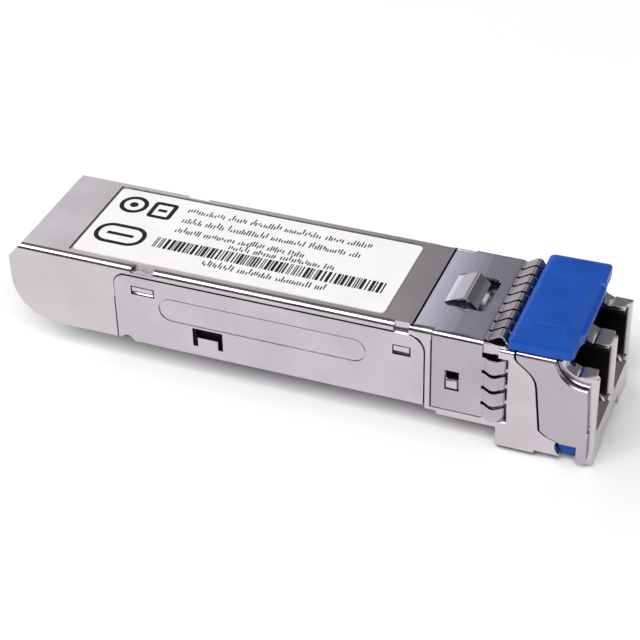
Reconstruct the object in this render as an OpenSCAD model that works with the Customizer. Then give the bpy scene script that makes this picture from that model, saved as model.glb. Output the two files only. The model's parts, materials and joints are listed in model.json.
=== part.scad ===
// Pluggable duplex optical transceiver module with a swinging bail.
// Millimetres. +X runs from the edge contacts to the two ports, +Z is the label side, and Y = 0 is
// the plane of symmetry. The origin is under the middle of the part, level with the nose's feet.
// Inside the modules x is counted from the rear edge and z from the cover's underside; seat() moves
// the result into the part's own frame.

/* [Overall] */

// Length from the rear edge to the front of the nose
overall_length = 56.5; // [55:0.1:58]
// Width of the die-cast shell
shell_width = 13.5; // [13:0.1:13.7]
// Width over the sheet cover and the collar
cover_width = 13.7; // [13.5:0.1:13.8]
// Height from the cover's underside to the label deck
deck_height = 8.5; // [8:0.1:8.6]
// Radius along the two top edges of the deck
edge_radius = 0.65; // [0.3:0.05:1]
// Gap shown between neighbouring pieces
seam = 0.1; // [0.05:0.01:0.2]

/* [Nose] */

// Distance from the rear edge to the shoulder that stops at the cage
nose_start = 47.8; // [47:0.1:48]
// Width of the nose over both legs of the bail
nose_width = 14; // [13.7:0.1:14.5]
// Height of the nose's top above the cover's underside
nose_top = 8.2; // [7.8:0.1:8.6]
// How far the feet reach below the cover's underside
foot_drop = 2.95; // [2:0.05:3.2]
// Chamfer along the nose's bottom edges
foot_chamfer = 0.7; // [0.3:0.05:1]
// Height of the flat ledge at the front of each port wall
ledge_height = 6.6; // [6:0.05:7]

/* [Ports] */

// Distance between the two optical axes
port_pitch = 6.25; // [6.2:0.01:6.3]
// Height of the optical axes above the cover's underside
optic_height = 3.2; // [3:0.05:3.6]
// Width of one port
port_width = 4.6; // [4.55:0.05:4.8]
// Height from the floor of a port to its ceiling
port_height = 6.35; // [6:0.05:6.6]
// Distance from the rear edge to the back of the ports
port_back = 47.3; // [47:0.1:48]
// Radius of the bore that takes a connector's ferrule
ferrule_bore_radius = 0.63; // [0.625:0.005:0.65]
// Length of the bore in the front of each barrel
ferrule_bore_length = 2.4; // [1.5:0.1:4]

/* [Cover] */

// Thickness of the sheet cover
cover_sheet = 0.3; // [0.2:0.05:0.4]
// Distance from the rear edge to the cover
cover_rear = 10.95; // [10:0.05:12]
// Distance from the rear edge to the cover's front
cover_front = 41; // [40:0.1:41.5]
// Height of the cover's side panels
cover_side_height = 7.6; // [7:0.1:7.8]

/* [Collar] */

// Thickness of the collar's sheet
collar_sheet = 0.25; // [0.15:0.05:0.3]
// Distance from the rear edge to the sides of the collar
collar_rear = 41.75; // [41:0.05:42]
// Distance from the rear edge to the roots of the spring fingers
finger_root = 46.3; // [46:0.1:47]
// Length of a spring finger
finger_length = 2.15; // [1.8:0.05:2.4]
// How far the top fingers arch out of the sheet
top_finger_rise = 0.62; // [0.3:0.02:0.7]
// How far the side fingers arch out of the sheet
side_finger_rise = 0.44; // [0.2:0.02:0.5]
// Number of spring fingers across the top
top_fingers = 9; // [5:1:11]
// Number of spring fingers on each side
side_fingers = 4; // [3:1:5]

/* [Circuit board] */

// Width of the board's contact tongue
board_width = 9.2; // [9.1:0.1:9.3]
// Thickness of the board
board_thickness = 1; // [0.8:0.1:1.1]
// Height of the board's underside above the cover's underside
board_height = 2.25; // [2:0.05:2.4]
// Distance from the rear edge to the board's edge
board_rear = 3.2; // [3:0.1:3.5]
// Contacts on each face of the board
contact_count = 10; // [6:1:12]
// Distance between neighbouring contacts
contact_pitch = 0.8; // [0.75:0.05:0.85]

/* [Bail and latch] */

// Distance from the rear edge to the bail's pivot
pivot_x = 54.3; // [54:0.05:54.6]
// Height of the bail's pivot, below the cover's underside
pivot_z = -1; // [-1.1:0.02:-0.9]
// Thickness of the bail's legs
leg_sheet = 0.6; // [0.4:0.05:0.7]
// Height of the top of the grip above the cover's underside
grip_top = 9.5; // [9:0.1:9.8]
// Distance from the rear edge to the latch's holding shoulder
latch_shoulder = 45; // [44.9:0.05:45.1]
// Width of the latch boss
latch_width = 2.6; // [2.4:0.1:2.6]
// Distance from the rear edge to the rocker's pin
rocker_x = 49; // [48.5:0.1:49.5]

/* [Hidden] */

$fn = 48;
tiny = 0.01;
shell_half = shell_width / 2;
cover_half = cover_width / 2;
cover_inner = cover_half - cover_sheet;
collar_top = deck_height + 0.05;
collar_inner = cover_half - collar_sheet;
neck_top = collar_top - collar_sheet;
front_bottom = -0.5;
deck_front = 39.7;
nose_half = nose_width / 2;
ear_floor = nose_half - leg_sheet - seam;
port_y = port_pitch / 2;
port_floor = optic_height - 2.35;
roof_under = 7.3;
cavity_half = 5.75;
ledge_half = 5;
board_top = board_height + board_thickness;
ledge_x = 54.85;
scoop_x = 55.45;
scoop_radius = 2.45;
bracket_top = 8.35;
bracket_under = 7.85;
boss_radius = 1.02;
cover_gap = 0.11;
groove_depth = 0.55;
axle_half = 6.2;
tongue_end = 53.6;
leg_bottom = -0.62;
axle_radius = 0.5;
rocker_z = -0.95;
channel_half = 3.15;
channel_roof = 1.38;
lever_top = 0.35;
leg_seam = 0.2;
lead_in = 0.35;
dish_radius = 3.8;
dish_depth = 0.6;
label_rear = 6.15;
label_front = 36.85;
collar_bottom = 0.35;
barrel_hole_radius = 1.6;

// ---- helpers ------------------------------------------------------------------------------------

module seat() translate([-overall_length / 2, 0, foot_drop]) children();

module block(x0, x1, y0, y1, z0, z1) translate([x0, y0, z0]) cube([x1 - x0, y1 - y0, z1 - z0]);

module bar(x0, x1, half, z0, z1) block(x0, x1, -half, half, z0, z1);

// Runs an outline drawn in X and Z from y0 to y1.
module slab(y0, y1) translate([0, y1, 0]) rotate([90, 0, 0]) linear_extrude(y1 - y0) children();

// Runs an outline drawn in Y and Z from x0 to x1.
module run(x0, x1) translate([x0, 0, 0]) rotate([90, 0, 90]) linear_extrude(x1 - x0) children();

module both_sides() {
  children();
  mirror([0, 1, 0]) children();
}

module pin_x(x0, x1, y, z, r) translate([x0, y, z]) rotate([0, 90, 0]) cylinder(h = x1 - x0, r = r);

module pin_y(y0, y1, x, z, r) translate([x, y1, z]) rotate([90, 0, 0]) cylinder(h = y1 - y0, r = r);

module pin_z(x, y, r, z0, z1) translate([x, y, z0]) cylinder(h = z1 - z0, r = r);

// Outline with rounded top corners, from z0 up to z1.
module arch_outline(half, z0, z1, r) {
  translate([-half, z0]) square([2 * half, z1 - r - z0]);
  translate([-half + r, z0]) square([2 * (half - r), z1 - z0]);
  for (side = [-1, 1]) translate([side * (half - r), z1 - r]) circle(r = r);
}

// Plate outline in X and Y with rounded corners.
module rounded_plate(x0, x1, half, corner) {
  translate([x0, -half + corner]) square([x1 - x0, 2 * (half - corner)]);
  translate([x0 + corner, -half]) square([x1 - x0 - 2 * corner, 2 * half]);
  for (x = [x0 + corner, x1 - corner], side = [-1, 1])
    translate([x, side * (half - corner)]) circle(r = corner);
}

function curve_point(a, b, c, d, t) = pow(1 - t, 3) * a + 3 * pow(1 - t, 2) * t * b
  + 3 * (1 - t) * t * t * c + pow(t, 3) * d;
function curve(a, b, c, d, steps) = [for (i = [0:steps]) curve_point(a, b, c, d, i / steps)];

// Rear edge of the bail's leg, from the nose's top down to the hinge.
function leg_rear_edge() = concat([[49.34, 8.2]],
  curve([49.34, 7.75], [49.38, 7], [51.25, 6.6], [51.35, 5], 8),
  [[51.8, 0.35], [52.45, -0.15]]);

// ---- shell --------------------------------------------------------------------------------------

module wing_outline() {
  wing_radius = 4.4;
  wing_bottom = 0.3;
  difference() {
    union() {
      translate([wing_radius, wing_bottom]) square([cover_rear - seam - wing_radius, roof_under]);
      translate([0, wing_bottom + wing_radius]) square([9, roof_under - wing_bottom - wing_radius]);
      intersection() {
        translate([wing_radius, wing_bottom + wing_radius]) circle(r = wing_radius);
        square([wing_radius + tiny, wing_radius + wing_bottom + tiny]);
      }
    }
    rear_chamfer_outline();
  }
}

module rear_chamfer_outline() polygon([[-1, 6], [-0.001, 7.05], [1.35, 8.51], [1.35, 9], [-1, 9]]);

module shell_rear() {
  wing_thickness = 0.7;
  both_sides() slab(shell_half - wing_thickness, shell_half) wing_outline();
  // bulkhead over the board
  bar(9.3, 10.2, shell_half - wing_thickness + tiny, board_top + seam, roof_under + 0.3);
}

module shell_deck() difference() {
  run(0, deck_front) arch_outline(shell_half, roof_under, deck_height, edge_radius);
  slab(-8, 8) rear_chamfer_outline();
  // thinner roof over the host's connector
  bar(-1, 9.3, shell_half - 0.7, roof_under - 1, roof_under + 0.2);
  // label recess
  bar(5.9, 37.1, 5.75, deck_height - 0.15, deck_height + 1);
  cover_seat();
}

// Step that the cover's side panels sit in.
module cover_seat() both_sides() slab(cover_inner, 8) {
  cover_panel_outline(cover_gap);
  translate([cover_rear - cover_gap, -1]) square([cover_front - cover_rear + 2 * cover_gap, 2]);
}

// Corners of the shell around the rounded corners of the cover's side panels.
module cover_corners() difference() {
  both_sides() for (x = [[cover_rear - 0.3, cover_rear + 1.4], [cover_front - 1.8, cover_front + 0.3]])
    block(x[0], x[1], cover_inner - 0.1, shell_half, 5.8, roof_under + 0.4);
  cover_seat();
}

module shell_walls() difference() {
  bar(10.2, 41.7, cover_inner, cover_sheet + 0.05, roof_under + 0.35);
  bar(9, 40, ledge_half, 0, roof_under);
  bar(9, 35.4, cavity_half, 0, board_top);
  // groove at the cover's rear edge
  both_sides() block(cover_rear - seam, cover_rear + 0.02, shell_half - groove_depth, 8, -1, 6);
  // room for the optical assemblies
  bar(35.4, 43, 6, 0, 6.2);
  // slots for the cover's board supports
  bar(18.9, 21.4, cover_inner + 1, 0, board_height);
  both_sides() block(18.9, 21.4, 6, 7, 0, board_top);
}

module shell_neck() difference() {
  union() {
    bar(deck_front, nose_start + 0.5, collar_inner, 6, neck_top);
    // shoulder between the deck and the collar
    intersection() {
      run(deck_front, collar_rear - 0.1) arch_outline(shell_half, 6.6, deck_height, edge_radius);
      both_sides() block(deck_front, collar_rear, 6.15, 7, 5, 9);
    }
    bar(cover_front + 0.1, nose_start + 0.5, collar_inner, 0.35, neck_top);
    bar(cover_front + 0.1, collar_rear - 0.1, shell_half, -0.15, 7);
    bar(collar_rear - 0.1, nose_start + 0.5, shell_half, -0.15, collar_bottom - 0.05);
    bar(42.2, nose_start + 0.5, shell_half, front_bottom, collar_bottom - 0.05);
  }
  // pocket that holds the two optical assemblies
  bar(41, 46.3, 5.6, 0.7, roof_under - 0.1);
  bar(35, cover_front + 0.1, 6, -1, 6.2);
  bar(35, 42.4, 6, 0.7, 6.2);
  cover_seat();
  // dish under the top spring tab
  slab(-2.75, 2.75) translate([43.55, neck_top - dish_depth + dish_radius]) circle(r = dish_radius);
  // grooves along the collar's rear and bottom edges
  bar(deck_front, deck_front + 0.14, collar_inner - 0.1, neck_top - groove_depth, 9);
  both_sides() {
    block(collar_rear - 0.12, collar_rear + 0.02, shell_half - groove_depth, 7,
      collar_bottom - 0.12, neck_top - 0.3);
    block(collar_rear, finger_root + 0.1, shell_half - groove_depth, 7, collar_bottom - 0.12,
      collar_bottom + 0.02);
  }
  // hole beside each side boss
  both_sides() block(43, 44.2, 5.9, 7, 3.68, 4.6);
  // dip behind the tips of the spring fingers
  bar(finger_root - 0.2, 49, 6.4, 7.8, 9);
  both_sides() block(finger_root - 0.2, 49, 6.3, 8, collar_bottom - 0.05, 7.3);
}

module nose_outline(drop) difference() {
  arch_outline(nose_half, -drop, nose_top, 0.35);
  for (side = [-1, 1]) translate([side * nose_half, -drop]) rotate(45)
    square(foot_chamfer * sqrt(2), center = true);
}

module front_scoop_outline() difference() {
  union() {
    translate([scoop_x, ledge_height - 0.18 + scoop_radius]) circle(r = scoop_radius);
    translate([ledge_x, ledge_height]) square([4, 6]);
  }
  translate([ledge_x, ledge_height - 2]) square([4, 2]);
}

module leg_recess_outline() polygon(concat([for (p = leg_rear_edge()) p + [-leg_seam, -tiny]],
  [[tongue_end, leg_bottom], [tongue_end, -4], [58, -4], [58, 10], [49.34 - leg_seam, 10]]));

module nose_port(y) {
  block(port_back, 58, y - port_width / 2, y + port_width / 2, port_floor, port_floor + port_height);
  // lead-in at the floor
  slab(y - port_width / 2, y + port_width / 2)
    polygon([[55.5, port_floor + tiny], [57, port_floor + tiny], [57, port_floor - 0.82]]);
  // lead-in at both sides
  translate([overall_length + tiny, y, port_floor]) linear_extrude(port_height) polygon([
    [0, -port_width / 2 - lead_in], [0, port_width / 2 + lead_in],
    [-lead_in - tiny, port_width / 2 - tiny], [-lead_in - tiny, -port_width / 2 + tiny]]);
}

// Lips along the top of a port, and the two ledges that hold a connector's latch.
module catch_ledges(y) for (side = [-1, 1]) {
  outer = side * y > 0;
  wall = y + side * (port_width / 2 + tiny);
  lip = wall - side * (outer ? 0.7 : 0.4);
  ledge = wall - side * 1.05;
  block(52.6, 56.1, min(wall, lip), max(wall, lip), 5.95, ledge_height + 0.2);
  block(52.6, 53.6, min(wall, ledge), max(wall, ledge), 6.2, 7.3);
}

module shell_nose() difference() {
  union() {
    difference() {
      run(nose_start, overall_length) nose_outline(foot_drop);
      for (side = [-1, 1]) nose_port(side * port_y);
    }
    for (side = [-1, 1]) catch_ledges(side * port_y);
  }
  both_sides() slab(ear_floor, 8) leg_recess_outline();
  // seat of the bracket's top
  bar(49.34 - leg_seam, 55, 8, bracket_under - 0.05, 9);
  slab(-8, 8) front_scoop_outline();
  // dip behind the tips of the spring fingers
  bar(nose_start - 1, 48.75, 6.4, 7.8, 9);
  both_sides() block(nose_start - 1, 48.75, 6.3, 8, collar_bottom - 0.05, 7.3);
  latch_channel();
  // hollow under the front between the feet
  bar(54.8, 58, channel_half, -4, -1.6);
  bar(53.2, 55.7, channel_half, -4, -0.15);
  // step in the underside behind the cut-out
  difference() {
    bar(51.35, tongue_end + 0.2, 8, -4, 0);
    run(51, 54) nose_outline(foot_drop - 0.3);
  }
  // cut-out around the pivot, down to a round lug
  difference() {
    bar(tongue_end, 55.15, 8, -4, -0.75);
    pin_y(-8, 8, pivot_x, pivot_z, boss_radius - 0.12);
  }
  // bores of the bail's axle and pockets of its bosses
  pin_y(-axle_half, axle_half, pivot_x, pivot_z, axle_radius + 0.05);
  both_sides() pin_y(5.7, 8, pivot_x, pivot_z, boss_radius + 0.08);
}

module latch_channel() {
  bar(42.25, nose_start + 0.4, 1.65, -4, lever_top);
  bar(42.25, port_back - 0.4, 1.65, -4, channel_roof);
  bar(nose_start + 0.3, 50.3, channel_half, -4, lever_top);
  bar(nose_start + 0.3, 53.3, channel_half, -4, -0.15);
  // bore of the rocker's pin
  pin_y(-4.2, 4.2, rocker_x, rocker_z, 0.42);
}

module shell_bulkhead() {
  bar(46.3, port_back, collar_inner - 0.5, 0.3, neck_top - 0.4);
  bar(port_back - tiny, nose_start + tiny, collar_inner - 0.5, -0.4, port_floor);
}

module side_snaps() both_sides() for (s = [[12.78, 14.86, 5.8, 6.5], [38.22, 39.66, 5.42, 6.2]])
  slab(cover_inner - 0.1, cover_half) translate([s[0], s[2]]) square([s[1] - s[0], s[3] - s[2]]);

module snap_ramps() both_sides() for (s = [[12.7, 14.95, 5.79], [38.15, 39.75, 5.41]])
  translate([s[0], cover_half, s[2]]) rotate([45, 0, 0]) cube([s[1] - s[0], 0.2, 0.2]);

module pry_notches() both_sides() {
  block(12.7, 14.95, 6, 8, 7.9, 9);
  block(38.15, 39.55, 6.25, 8, 7.6, 9);
}

module top_housing() color([0.78, 0.77, 0.78]) seat() {
  difference() {
    union() {
      shell_rear();
      shell_deck();
      cover_corners();
      shell_walls();
      difference() {
        side_snaps();
        snap_ramps();
      }
      difference() {
        union() {
          shell_neck();
          shell_bulkhead();
        }
        latch_channel();
        for (side = [-1, 1]) {
          nose_port(side * port_y);
          pin_x(46, 48, side * port_y, optic_height, barrel_hole_radius);
        }
      }
      shell_nose();
      // bosses that hold the collar
      both_sides() slab(collar_inner - 0.3, cover_half) translate([43.12, 2.82]) square([0.98, 0.76]);
    }
    pry_notches();
  }
}

// ---- sheet metal --------------------------------------------------------------------------------

// The cover's side panel with two rounded top corners, made larger all round by grow.
module cover_panel_outline(grow) {
  rear_round = 1.2;
  front_round = 1.6;
  rear = cover_rear + rear_round;
  front = cover_front - front_round;
  translate([cover_rear - grow, 0]) square([4, cover_side_height - rear_round]);
  translate([front - 1, 0]) square([1 + front_round + grow, cover_side_height - front_round]);
  translate([rear, 0]) square([front - rear, cover_side_height + grow]);
  translate([rear, cover_side_height - rear_round]) circle(r = rear_round + grow);
  translate([front, cover_side_height - front_round]) circle(r = front_round + grow);
}

module cover_side_outline() difference() {
  cover_panel_outline(0);
  // bend relief at the rear corner
  translate([cover_rear - 1, -1]) square([1.9, 1.45]);
  translate([cover_rear + 0.9, 0.05]) circle(r = 0.7);
}

module cover_section() difference() {
  bend = 0.45;
  union() {
    translate([-cover_half, bend]) square([cover_width, cover_side_height - bend]);
    translate([-cover_half + bend, 0]) square([cover_width - 2 * bend, 1]);
    for (side = [-1, 1]) translate([side * (cover_half - bend), bend]) circle(r = bend);
  }
  translate([-cover_inner, cover_sheet]) square([2 * cover_inner, 10]);
}

module stadium(x0, x1, z0, z1) {
  r = (z1 - z0) / 2;
  translate([x0 + r, z0]) square([x1 - x0 - 2 * r, 2 * r]);
  for (x = [x0 + r, x1 - r]) translate([x, z0 + r]) circle(r = r);
}

module bottom_cover() color([0.8, 0.78, 0.78]) seat() {
  field_depth = 0.06;
  ring_depth = 0.13;
  intersection() {
    difference() {
      run(cover_rear, cover_front) cover_section();
      both_sides() {
        slab(cover_half - field_depth, 8) stadium(15.35, 35.6, 3.45, 5.95);
        slab(cover_half - ring_depth, 8) difference() {
          stadium(15.35, 35.6, 3.45, 5.95);
          stadium(15.47, 35.48, 3.57, 5.83);
        }
        block(12.65, 15, 6, 8, 5.65, 6.6);
        block(38.1, 39.8, 6, 8, 5.25, 6.3);
        // slots around the board supports
        block(18.65, 21.65, 6, 8, board_height, 3.25);
        block(18.65, 19.15, 6, 8, 1.25, 3);
        block(21.15, 21.65, 6, 8, 1.25, 3);
      }
    }
    slab(-8, 8) cover_side_outline();
  }
  // board supports bent in from the side panels
  both_sides() block(19.15, 21.15, 5.1, cover_half, board_height - cover_sheet, board_height);
}

// One side of a spring finger's strip, drop below its outer side: from the root at x = 0 it rises to
// a narrow ridge and falls to the tip.
function finger_side(rise, ridge, drop, tip) = concat([[0, -drop], [0.22, -0.05 - drop]],
  curve([ridge - 0.4, rise * 0.78 - drop], [ridge - 0.15, rise * 1.07 - drop],
    [ridge + 0.1, rise * 1.07 - drop], [ridge + 0.32, rise * 0.62 - drop], 6),
  [[tip, -0.2 - drop * 0.8]]);

// One spring finger: a strip of sheet that arches out along +Z, from x = 0.
module finger(width, rise, ridge) {
  strip = collar_sheet * 0.8;
  back = finger_side(rise, ridge, strip, finger_length - 0.12);
  slab(-width / 2, width / 2) polygon(concat([[-0.1, 0]], finger_side(rise, ridge, 0, finger_length),
    [for (i = [len(back) - 1:-1:0]) back[i]], [[-0.1, -strip]]));
}

module collar_body() difference() {
  round_out = 0.6;
  tongue_rear = 39.85;
  fall_front = 43.9;
  fall = 0.17;
  steps = 7;
  union() {
    run(collar_rear, finger_root) arch_outline(cover_half, collar_bottom, collar_top, round_out);
    bar(tongue_rear, collar_rear + tiny, 6.1, neck_top, collar_top);
  }
  // the top curves down to the tongue's rear edge
  slab(-8, 8) polygon(concat([[fall_front, 10], [fall_front, collar_top + tiny]],
    [for (i = [1:steps]) [fall_front - (fall_front - tongue_rear) * i / steps,
      collar_top - fall * pow(i / steps, 2)]],
    [[tongue_rear - 1, collar_top - fall], [tongue_rear - 1, 10]]));
  run(collar_rear - 1, finger_root + 1) translate([-collar_inner, -1])
    square([2 * collar_inner, neck_top + 1]);
  // window of the spring tab
  translate([0, 0, 7]) linear_extrude(3) rounded_plate(41.35, 45.3, 2.6, 0.6);
  both_sides() block(42.95, 44.3, 6, 8, 2.6, 4.7);
}

// Strip that slopes up from its root to a rounded ridge and falls to its tip in the window.
module spring_tab() {
  z = neck_top;
  root = 41.3;
  outside = curve([42.75, z + 0.86], [43.05, z + 1.1], [43.35, z + 1.1], [43.64, z + 0.7], 9);
  inside = curve([43.44, z + 0.58], [43.3, z + 0.84], [43.1, z + 0.84], [42.85, z + 0.68], 9);
  slab(-2.1, 2.1) polygon(concat([[root, z], [root, collar_top - 0.08]], outside,
    [[44.36, z + 0.02], [44.12, z - 0.12]], inside));
}

module emi_collar() color([0.62, 0.63, 0.68]) seat() {
  top_step = 1.42;
  side_step = 1.73;
  first_side_finger = 1.05;
  collar_body();
  spring_tab();
  for (i = [0:top_fingers - 1])
    translate([finger_root - 0.02, (i - (top_fingers - 1) / 2) * top_step, collar_top])
      finger(1.14, top_finger_rise, 1.48);
  both_sides() for (i = [0:side_fingers - 1])
    translate([finger_root - 0.02, cover_half, first_side_finger + i * side_step])
      rotate([-90, 0, 0]) finger(1.36, side_finger_rise, 1.2);
}

// ---- label, bail --------------------------------------------------------------------------------

module label() color([0.95, 0.95, 0.95]) seat() {
  corner = 0.5;
  half = 5.55;
  translate([0, 0, deck_height - 0.15]) linear_extrude(0.1)
    rounded_plate(label_rear, label_front, half, corner);
}

module leg_outline() difference() {
  foot_corner = 0.35;
  foot_bottom = -2.4;
  foot_rear = 55.12;
  foot_front = 56;
  arc_x = 55.5;
  arc_radius = 2.7;
  arc_bottom = 5.55;
  union() {
    polygon(concat(leg_rear_edge(), [[tongue_end + 0.06, leg_bottom], [foot_rear, leg_bottom],
      [foot_front, leg_bottom], [foot_front - 0.26, arc_bottom], [foot_front - 0.26, 8.2]]));
    translate([foot_rear, foot_bottom + foot_corner])
      square([foot_front - foot_rear, 3]);
    translate([foot_rear + foot_corner, foot_bottom])
      square([foot_front - foot_rear - 2 * foot_corner, 3]);
    for (x = [foot_rear + foot_corner, foot_front - foot_corner])
      translate([x, foot_bottom + foot_corner]) circle(r = foot_corner);
  }
  translate([arc_x, arc_bottom + arc_radius]) circle(r = arc_radius);
  translate([arc_x, arc_bottom]) square([2, 4]);
}

module bail_bracket() color([0.76, 0.75, 0.76]) seat() {
  bend = 0.6;
  shoulder = bracket_top - bend - 0.05;
  both_sides() slab(nose_half - leg_sheet, nose_half) intersection() {
    leg_outline();
    translate([48, -4]) square([10, shoulder + 4]);
  }
  difference() {
    run(49.34, 52.8) arch_outline(nose_half, shoulder, bracket_top, bend);
    bar(49, 54, nose_half - leg_sheet, 0, bracket_under);
    bar(49, 54, nose_half + 1, 0, shoulder);
  }
}

module bail_grip() color([0.08, 0.3, 0.68]) seat() {
  rear = 48.5;
  front = 54.45;
  half = 7.1;
  overhang_under = 8.62;
  lip = 0.3;
  difference() {
    union() {
      bar(rear, front, half, bracket_top, grip_top - lip);
      bar(rear + lip, front - lip, half - lip, bracket_top, grip_top);
      both_sides() pin_x(rear + lip, front - lip, half - lip, grip_top - lip, lip);
      for (x = [rear + lip, front - lip])
        pin_y(-half + lip, half - lip, x, grip_top - lip, lip);
      for (x = [rear + lip, front - lip], side = [-1, 1])
        translate([x, side * (half - lip), grip_top - lip]) sphere(r = lip);
    }
    // finger notch at the front edge
    slab(-4, 4) polygon([[53.1, grip_top + tiny], [54.6, grip_top + tiny], [54.6, 9.1]]);
    // both ends stand clear of the bracket's bends
    both_sides() block(rear - 1, front + 1, 6.35, 8, 8, overhang_under);
  }
}

module bail_bosses() color([0.08, 0.3, 0.68]) seat() both_sides() difference() {
  pin_y(5.78, nose_half - leg_sheet, pivot_x, pivot_z, boss_radius);
  pin_y(5, axle_half, pivot_x, pivot_z, axle_radius);
}

module bail_axle() color([0.7, 0.7, 0.72]) seat()
  pin_y(-axle_half, axle_half, pivot_x, pivot_z, axle_radius);

module release_cam() color([0.08, 0.3, 0.68]) seat() {
  lobe_radius = 0.46;
  lobe_reach = 0.88;
  cam_half = 2.2;
  difference() {
    union() {
      pin_y(-cam_half, cam_half, pivot_x, pivot_z, 0.62);
      pin_y(-cam_half, cam_half, pivot_x + lobe_reach, pivot_z, lobe_radius);
      block(pivot_x, pivot_x + lobe_reach, -cam_half, cam_half, pivot_z - lobe_radius,
        pivot_z + lobe_radius);
    }
    pin_y(-8, 8, pivot_x, pivot_z, axle_radius);
  }
}

module lever_outline() difference() {
  union() {
    translate([rocker_x, rocker_z]) circle(r = 0.85);
    polygon([[48.1, -0.5], [48.4, 0], [49.4, -0.15], [50.4, -0.45], [52.6, -1.65], [55.2, -1.65],
      [55.2, -2.15], [52.4, -2.15], [50, -1.6], [49, -1.75], [48.2, -1.3]]);
  }
  translate([rocker_x, rocker_z]) circle(r = 0.42);
}

module latch_lever() color([0.72, 0.72, 0.74]) seat() {
  boss_drop = 0.45;
  slab(-3, 3) lever_outline();
  difference() {
    union() {
      bar(42.6, 46.6, 1.5, front_bottom, lever_top);
      bar(46.5, 48.4, 1.5, front_bottom, 0);
    }
    pin_y(-4, 4, rocker_x, rocker_z, 0.6);
  }
  // triangular boss with a ramp that points to the rear
  intersection() {
    translate([0, 0, front_bottom - boss_drop]) linear_extrude(boss_drop + 0.1)
      polygon([[latch_shoulder, -latch_width / 2], [latch_shoulder, latch_width / 2],
        [latch_shoulder - 2.4, 0]]);
    slab(-2, 2) polygon([[42.5, front_bottom + 0.2], [42.6, front_bottom],
      [42.6 + boss_drop, front_bottom - boss_drop], [46, front_bottom - boss_drop],
      [46, front_bottom + 0.2]]);
  }
}

module latch_pin() color([0.7, 0.7, 0.72]) seat() pin_y(-4.1, 4.1, rocker_x, rocker_z, 0.38);

module latch_spring() color([0.6, 0.6, 0.62]) seat() {
  chord = 2.5;
  rise = channel_roof - lever_top;
  spring_x = 45.3;
  strip = 0.12;
  radius = (chord * chord / 4 + rise * rise) / (2 * rise);
  intersection() {
    difference() {
      pin_y(-0.8, 0.8, spring_x, channel_roof - radius, radius);
      pin_y(-1, 1, spring_x, channel_roof - radius, radius - strip);
    }
    bar(spring_x - chord / 2, spring_x + chord / 2, 1, lever_top, 2);
  }
}

// ---- optics -------------------------------------------------------------------------------------

module receptacle_insert() color([0.06, 0.06, 0.07]) seat() difference() {
  bar(44.95, 46.25, 5.5, 1.4, 6.2);
  for (side = [-1, 1]) pin_x(44, 47, side * port_y, optic_height, 2.25);
}

module barrel(y) difference() {
  union() {
    pin_x(45, 51.4, y, optic_height, 1.5);
    pin_x(45, 46.1, y, optic_height, 2.2);
    pin_x(43.9, 45.01, y, optic_height, 1.7);
    pin_x(42.9, 43.91, y, optic_height, 2.2);
    pin_x(39.6, 42.91, y, optic_height, 2.4);
  }
  pin_x(45, 52, y, optic_height, ferrule_bore_radius);
  // room for the ceramic sleeve
  pin_x(45.4, 51.4 - ferrule_bore_length, y, optic_height, 0.9);
  pin_x(39, 42.3, y, optic_height, 1.9);
}

module transmitter_barrel() color([0.78, 0.66, 0.36]) seat() barrel(-port_y);

module receiver_barrel() color([0.78, 0.66, 0.36]) seat() barrel(port_y);

module can(y) {
  pin_x(38.4, 39.58, y, optic_height, 2.7);
  pin_x(39.57, 41.8, y, optic_height, 1.8);
}

module transmitter_can() color([0.82, 0.72, 0.4]) seat() can(-port_y);

module receiver_can() color([0.82, 0.72, 0.4]) seat() can(port_y);

module ferrule_sleeves() color([0.92, 0.9, 0.86]) seat() for (side = [-1, 1]) difference() {
  pin_x(45.45, 48.95, side * port_y, optic_height, 0.88);
  pin_x(45, 50, side * port_y, optic_height, ferrule_bore_radius);
}

module optics_clamp() color([0.5, 0.5, 0.52]) seat() difference() {
  bar(43.95, 44.85, 5.5, 1.4, 6.6);
  for (side = [-1, 1]) {
    pin_x(43, 46, side * port_y, optic_height, 1.75);
    block(43, 46, side * port_y - 1.75, side * port_y + 1.75, 0, optic_height);
  }
}

module flex(y) {
  sheet = 0.12;
  block(38.26, 38.38, y - 1.8, y + 1.8, board_top + sheet, optic_height + 2.2);
  block(34.2, 38.38, y - 1.8, y + 1.8, board_top, board_top + sheet);
}

module transmitter_flex() color([0.75, 0.5, 0.15]) seat() flex(-port_y);

module receiver_flex() color([0.75, 0.5, 0.15]) seat() flex(port_y);

// ---- board --------------------------------------------------------------------------------------

module circuit_board() color([0.05, 0.3, 0.15]) seat() {
  tongue_bevel = 0.25;
  slab(-board_width / 2, board_width / 2) polygon([[board_rear, board_height + tongue_bevel],
    [board_rear + 0.5, board_height], [11, board_height], [11, board_top],
    [board_rear + 0.5, board_top], [board_rear, board_top - tongue_bevel]]);
  difference() {
    bar(10.4, 35.2, 5.6, board_height, board_top);
    both_sides() pin_z(13, 6, 0.9, board_height - 1, board_top + 1);
  }
}

module contact_row(z0, z1) for (i = [0:contact_count - 1]) {
  // every third contact reaches further back and mates first
  start = (i % 3 == 0) ? board_rear + 0.55 : board_rear + 1;
  y = (i - (contact_count - 1) / 2) * contact_pitch;
  block(start, 7.3, y - 0.28, y + 0.28, z0, z1);
}

module contacts_top() color([0.85, 0.68, 0.25]) seat() contact_row(board_top, board_top + 0.04);

module contacts_bottom() color([0.85, 0.68, 0.25]) seat()
  contact_row(board_height - 0.04, board_height);

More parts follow.
